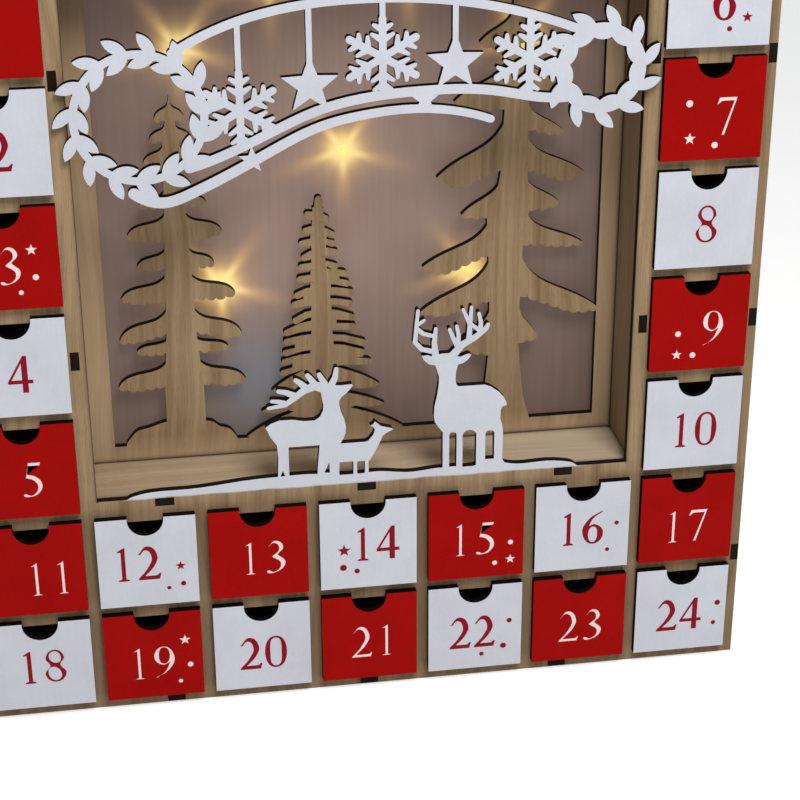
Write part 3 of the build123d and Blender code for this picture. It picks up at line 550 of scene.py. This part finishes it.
# The day numbers with their stars and dots are screen-printed in one pass on each painted front: white on
# red, dark red on white. A third value of 1 marks a corner of a numeral's outline, the rest is round.
numerals = {
    0: [
        [(0.28, 0), (0.54, 0.5), (0.28, 1), (0.02, 0.5)],
        [(0.28, 0.05), (0.42, 0.5), (0.28, 0.95), (0.14, 0.5)],
    ],
    1: [[
        (0.04, 0, 1), (0.38, 0, 1), (0.38, 0.03, 1), (0.275, 0.06, 1), (0.275, 1, 1), (0.24, 1, 1),
        (0.04, 0.9, 1), (0.05, 0.87, 1), (0.15, 0.885, 1), (0.15, 0.06, 1), (0.04, 0.03, 1),
    ]],
    2: [[
        (0.01, 0, 1), (0.49, 0, 1), (0.53, 0.17, 1), (0.50, 0.17, 1), (0.44, 0.105, 1), (0.15, 0.105, 1),
        (0.40, 0.44), (0.46, 0.72), (0.25, 1), (0.03, 0.77, 1), (0.065, 0.76, 1), (0.20, 0.895),
        (0.335, 0.68), (0.24, 0.36), (0.01, 0.04, 1),
    ]],
    3: [[
        (0.05, 0.81, 1), (0.24, 1), (0.42, 0.79), (0.29, 0.57, 1), (0.46, 0.30), (0.18, 0), (0.01, 0.05),
        (0.04, 0.105), (0.19, 0.055), (0.335, 0.27), (0.14, 0.495, 1), (0.14, 0.525, 1), (0.305, 0.75),
        (0.20, 0.91), (0.08, 0.795, 1),
    ]],
    4: [[
        (0.36, 1, 1), (0.44, 1, 1), (0.44, 0.34, 1), (0.55, 0.34, 1), (0.55, 0.25, 1), (0.44, 0.25, 1),
        (0.44, 0, 1), (0.32, 0, 1), (0.32, 0.25, 1), (0.01, 0.25, 1), (0.01, 0.31, 1),
    ], [(0.32, 0.34, 1), (0.32, 0.83, 1), (0.075, 0.34, 1)]],
    5: [[
        (0.16, 1, 1), (0.45, 1, 1), (0.42, 0.885, 1), (0.17, 0.885, 1), (0.14, 0.665, 1), (0.33, 0.585),
        (0.455, 0.34), (0.36, 0.09), (0.17, 0), (0.01, 0.05), (0.04, 0.105), (0.20, 0.06), (0.335, 0.28),
        (0.25, 0.47), (0.085, 0.545, 1),
    ]],
    6: [[
        (0.47, 1, 1), (0.17, 0.77), (0.03, 0.36), (0.27, 0), (0.50, 0.31), (0.31, 0.60), (0.165, 0.545, 1),
        (0.27, 0.80), (0.48, 0.98, 1),
    ], [(0.27, 0.05), (0.37, 0.28), (0.275, 0.54), (0.155, 0.32)]],
    7: [[
        (0.01, 0.80, 1), (0.07, 1, 1), (0.49, 1, 1), (0.49, 0.975, 1), (0.235, 0, 1), (0.15, 0, 1),
        (0.40, 0.885, 1), (0.14, 0.885, 1), (0.045, 0.80, 1),
    ]],
    8: [
        [
            (0.25, 0), (0.48, 0.25), (0.36, 0.53), (0.45, 0.77), (0.25, 1), (0.05, 0.76), (0.14, 0.51),
            (0.02, 0.24),
        ],
        [(0.25, 0.96), (0.39, 0.77), (0.31, 0.585), (0.115, 0.80)],
        [(0.25, 0.04), (0.385, 0.21), (0.17, 0.475), (0.085, 0.24)],
    ],
}
numerals[9] = [[(0.52 - point[0], 1 - point[1], *point[2:]) for point in loop] for loop in numerals[6]]
figure_widths_mm = [10.8, 5.0, 10.8, 9.7, 11.2, 9.5, 10.5, 10.0, 10.0, 10.5]
figure_height_mm = 18.2
figure_pitch_mm = 12.5
ink_mm = 0.03
white_spread_mm = -0.3
red_spread_mm = 0.1
star_tip_gain = 2.9
usual_place = (2.0, -3.0)
number_places = {
    5: (3.0, -4.0), 7: (6.3, -3.5), 8: (0.3, -2.5), 9: (6.8, -2.7), 10: (0.45, -3.45), 11: (6.9, -4.6),
    12: (-5.55, -0.55), 13: (1.9, -2.75), 14: (3.4, 0.15), 15: (-1.75, -2.05), 16: (-0.8, -1.0),
    17: (-0.4, -4.4), 18: (-0.6, -0.8), 19: (-1.3, -4.15), 20: (0.25, -3.85), 21: (2.3, -2.8),
    22: (-1.3, -2.7), 23: (1.15, -4.35), 24: (-0.85, -3.1),
}
star_marks = {
    1: [(-11.0, -12.0, 2.7)], 3: [(12.0, 4.0, 2.7)], 6: [(13.0, -11.0, 2.7)], 7: [(-10.5, -13.6, 2.9)],
    9: [(-10.5, -15.7, 2.6)], 12: [(15.7, -3.4, 2.6)], 14: [(-12.2, -2.7, 3.5)], 15: [(17.4, -14.9, 2.6)],
    19: [(15.6, 7.6, 2.8)],
}
dot_marks = {
    1: [(-12.0, 2.0, 1.4), (2.0, -16.5, 1.2)], 3: [(13.0, -9.0, 1.4), (6.0, -16.0, 1.1)],
    6: [(14.0, 2.0, 1.3), (5.0, -16.0, 1.2)], 7: [(-11.5, 3.1, 1.6), (1.6, -17.1, 1.5)],
    9: [(-10.4, -4.8, 1.45), (-2.5, -16.3, 1.45)], 12: [(16.6, -13.3, 1.3), (9.6, -15.2, 1.05)],
    14: [(-12.7, -12.2, 1.7), (-5.9, -14.6, 1.35)], 15: [(17.4, -5.3, 1.3), (9.5, -16.4, 1.25)],
    16: [(17.6, 0.8, 1.15), (13.3, -14.0, 1.1)], 19: [(17.7, -6.8, 1.4), (12.4, -16.0, 1.05)],
    22: [(17.6, 2.4, 1.35), (14.7, -12.2, 1.55), (3.5, -16.1, 1.2)],
    24: [(19.4, 2.1, 1.5), (17.9, -9.6, 1.2)],
}
star_points = 5
star_waist = 0.42
dot_knots = 8


def star_outline(x, z, reach):
    corners = 2 * star_points
    turns = [math.radians(90 + 360 / corners * corner) for corner in range(corners)]
    reaches = [reach, reach * star_waist] * star_points
    return [(x + far * math.cos(turn), z + far * math.sin(turn), 1) for far, turn in zip(reaches, turns)]


def dot_outline(x, z, reach):
    turns = [math.radians(360 / dot_knots * knot) for knot in range(dot_knots)]
    return [(x + reach * math.cos(turn), z + reach * math.sin(turn)) for turn in turns]


def number_outlines(day, middle_x, middle_z):
    """The figures of a day, each centred on its own place in a row of even pitch."""
    figures = [int(figure) for figure in str(day)]
    loops = []
    for place, figure in enumerate(figures):
        sides = [point[0] for loop in numerals[figure] for point in loop]
        low, high = min(sides), max(sides)
        centre = middle_x + (place - (len(figures) - 1) / 2) * figure_pitch_mm
        stretch = figure_widths_mm[figure] / (high - low)
        for loop in numerals[figure]:
            loops.append([
                (centre + (point[0] - (low + high) / 2) * stretch,
                 middle_z + (point[1] - 0.5) * figure_height_mm, *point[2:]) for point in loop
            ])
    return loops


def printed(name, loops, middle, y_face, spread_mm):
    """A thin layer of ink in the shape of the loops, spread or shrunk a little, on a front face."""
    drawing = bpy.data.curves.new(name, "CURVE")
    drawing.dimensions = "2D"
    drawing.fill_mode = "BOTH"
    drawing.resolution_u = 8
    drawing.extrude = ink_mm / mm_per_metre
    drawing.offset = spread_mm / mm_per_metre
    for loop in loops:
        line = drawing.splines.new("BEZIER")
        line.bezier_points.add(len(loop) - 1)
        line.use_cyclic_u = True
        for knot, point in zip(line.bezier_points, loop):
            knot.co = (point[0] / mm_per_metre, point[1] / mm_per_metre, 0)
            knot.handle_left_type = knot.handle_right_type = "VECTOR" if len(point) > 2 else "AUTO"
    pattern = bpy.data.objects.new(name, drawing)
    bpy.context.collection.objects.link(pattern)
    ready = pattern.evaluated_get(bpy.context.evaluated_depsgraph_get())
    mesh = bpy.data.meshes.new_from_object(ready)
    bpy.data.objects.remove(pattern)
    upright = Matrix.Rotation(math.radians(90), 4, "X")
    mesh.transform(Matrix.Translation((middle[0], y_face, middle[1])) @ upright)
    layer = bpy.data.objects.new(name, mesh)
    bpy.context.collection.objects.link(layer)
    return layer


def ink(name, full, thin):
    """Screen-print ink that lies a little unevenly."""
    finish = Finish(name)
    mottle = finish.noise(finish.place, scale=1.4, detail=3.0)
    finish.shade(
        base_color=finish.mix(mottle, full, thin), roughness=0.42 + mottle * 0.16, specular_ior_level=0.08
    )
    return finish


white_ink = ink("white_ink", tint(244, 224, 222), tint(228, 200, 198))
red_ink = ink("red_ink", tint(124, 6, 26), tint(138, 14, 36))
for day in days:
    low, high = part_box(f"drawer_front_{day:02d}")
    middle = ((low[0] + high[0]) / 2, (low[2] + high[2]) / 2)
    loops = number_outlines(day, *number_places.get(day, usual_place))
    spread = white_spread_mm if day % 2 else red_spread_mm
    loops += [star_outline(x, z, reach - spread * star_tip_gain) for x, z, reach in star_marks.get(day, [])]
    loops += [dot_outline(x, z, reach - spread) for x, z, reach in dot_marks.get(day, [])]
    layer = printed(f"day_print_{day:02d}", loops, middle, low[1], spread)
    layer.data.materials.append((white_ink if day % 2 else red_ink).material)
    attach(layer, f"drawer_{day:02d}")

# The studio: a plain pale floor, one soft round lamp high in front of the calendar and an even white room,
# which looks white but lights the calendar only a little.
floor_size = 12.0
floor_drop = 0.0002
floor_shine = (0.32, 0.32, 0.32, 1)
floor_mesh = bpy.data.meshes.new("studio_floor")
half = floor_size / 2
floor_corners = [(-half, -half, 0), (half, -half, 0), (half, half, 0), (-half, half, 0)]
floor_mesh.from_pydata(floor_corners, [], [(0, 1, 2, 3)])
floor = bpy.data.objects.new("studio_floor", floor_mesh)
bpy.context.collection.objects.link(floor)
floor.location.z = -floor_drop
floor_finish = Finish("pale_floor")
dust = floor_finish.noise(floor_finish.place, scale=0.004, detail=2.0)
floor_finish.shade(
    base_color=floor_finish.mix(dust, tint(250, 250, 250), tint(254, 254, 254)),
    roughness=0.9,
    emission_color=floor_finish.mix(floor_finish.seen(), black, floor_shine),
    emission_strength=1.0,
)
floor_mesh.materials.append(floor_finish.material)

lamp_place = Vector((0.2, -0.8, 1.25))
lamp_target = Vector((0, 0, 0.2))
lamp = bpy.data.lights.new("key_lamp", "AREA")
lamp.shape = "DISK"
lamp.size = 0.6
lamp.energy = 14.0
lamp.color = (1.0, 0.99, 0.97)
lamp_stand = bpy.data.objects.new("key_lamp", lamp)
bpy.context.collection.objects.link(lamp_stand)
lamp_stand.location = lamp_place
lamp_stand.rotation_euler = (lamp_target - lamp_place).to_track_quat("-Z", "Y").to_euler()
world = bpy.data.worlds.new("white_room")
world.use_nodes = True
bpy.context.scene.world = world
room_light = 0.4
room_colour = (0.98, 0.99, 1.0, 1.0)
room_walls = world.node_tree.nodes["Background"]
room_walls.inputs["Color"].default_value = room_colour
room = Shading(world.node_tree)
brightness = room_light + room.seen() * (1.0 - room_light)
room.tree.links.new(brightness.socket, room_walls.inputs["Strength"])
bpy.context.scene.view_settings.view_transform = "Standard"
